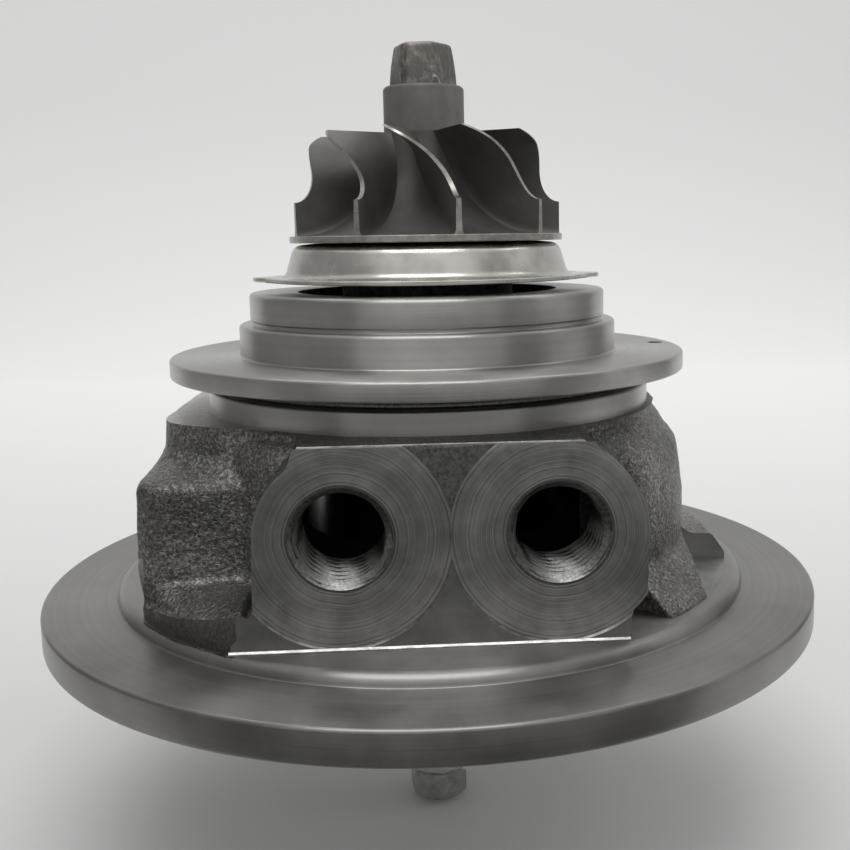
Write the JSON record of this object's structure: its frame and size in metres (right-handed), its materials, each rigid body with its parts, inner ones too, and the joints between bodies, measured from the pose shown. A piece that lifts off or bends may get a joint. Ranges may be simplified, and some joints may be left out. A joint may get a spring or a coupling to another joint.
{
  "type": "turbocharger cartridge",
  "caption": "Water cooled turbocharger cartridge: cast bearing housing with compressor flange, clamp flange and coolant ports, and a spinning shaft with bladed turbine and compressor wheels.",
  "frame": {"origin": "on the shaft axis at the compressor side face of the large flange", "axes": "+Z along the shaft towards the turbine wheel, -Y out of the coolant ports, +X out of the oil inlet, -X out of the oil drain"},
  "size_m": [0.112, 0.112, 0.1143],
  "materials": {
    "cast_iron": "sand cast with satin machined faces",
    "turned_iron": "turned",
    "sheet_steel": "pressed satin",
    "turbine_alloy": "investment cast, ground edges",
    "steel": "ground",
    "aluminium": "milled",
    "bronze": "turned",
    "rubber": "matt"
  },
  "bodies": {
    "housing": {"bearing_housing": "cast_iron", "heat_shield": "sheet_steel", "turbine_seal_ring": "steel", "turbine_bush_circlips": "steel", "compressor_bush_circlip": "steel", "thrust_bearing": "bronze", "thrust_bearing_pins": "steel", "oil_deflector": "sheet_steel", "seal_plate": "turned_iron", "seal_plate_o_ring": "rubber", "seal_plate_snap_ring": "steel", "compressor_seal_ring": "steel"},
    "rotor": {"turbine_wheel": "turbine_alloy", "rotor_shaft": "steel", "thrust_collar": "steel", "oil_flinger": "steel", "compressor_wheel": "aluminium", "compressor_nut": "steel"},
    "turbine_bush": {"turbine_journal_bush": "bronze"},
    "compressor_bush": {"compressor_journal_bush": "bronze"}
  },
  "joints": [
    {"name": "rotor_spin", "type": "hinge", "parent": "housing", "child": "rotor", "pos_m": [0, 0, 0.025], "axis": [0, 0, 1], "continuous": true},
    {"name": "turbine_bush_spin", "type": "hinge", "parent": "housing", "child": "turbine_bush", "pos_m": [0, 0, 0.03515], "axis": [0, 0, 1], "continuous": true},
    {"name": "compressor_bush_spin", "type": "hinge", "parent": "housing", "child": "compressor_bush", "pos_m": [0, 0, 0.01591], "axis": [0, 0, 1], "continuous": true}
  ]
}
